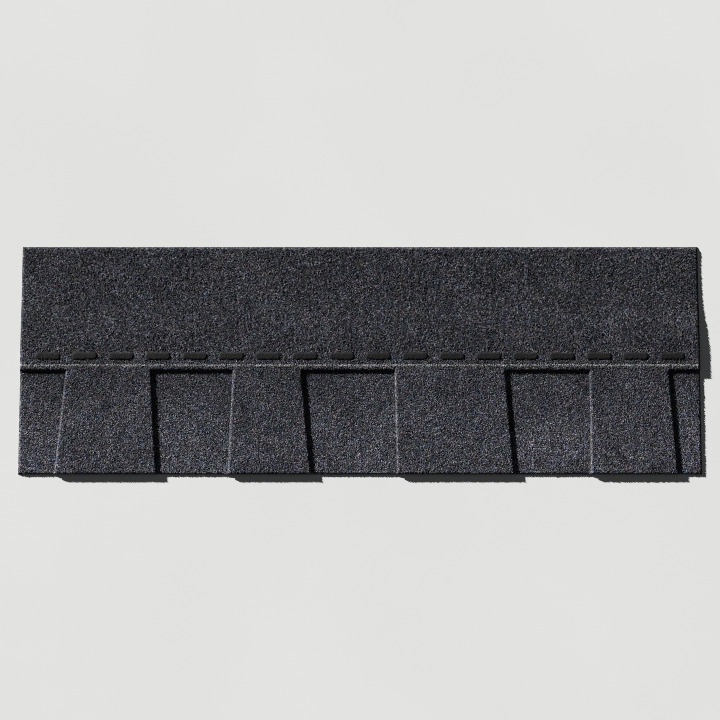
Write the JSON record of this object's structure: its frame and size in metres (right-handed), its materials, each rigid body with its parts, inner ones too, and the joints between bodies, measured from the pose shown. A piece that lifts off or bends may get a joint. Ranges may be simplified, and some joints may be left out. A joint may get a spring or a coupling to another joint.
{
  "type": "laminated asphalt shingle",
  "caption": "Laminated asphalt roof shingle: a granule-surfaced tooth layer glued over a backer strip, with sealant dashes on its face and release film on its back.",
  "frame": {"origin": "on the underside, at the centre of the shingle's outline", "axes": "+X to the right along the course, +Y from the butt edge up to the top edge, +Z out of the granule face"},
  "size_m": [1, 0.3366, 0.0064],
  "materials": {
    "granules": "matt charcoal ceramic-coated granules on filled asphalt",
    "shadow_granules": "matt charcoal granules, darker in a band below the cut-out roots",
    "laminating_asphalt": "satin black modified asphalt",
    "sealant": "satin black modified asphalt",
    "film": "clear glossy polyester film"
  },
  "bodies": {
    "root": {"tooth_layer": "granules", "backer_strip": "shadow_granules", "laminating_adhesive": "laminating_asphalt", "sealant_dashes": "sealant", "release_film": "film"}
  },
  "joints": []
}
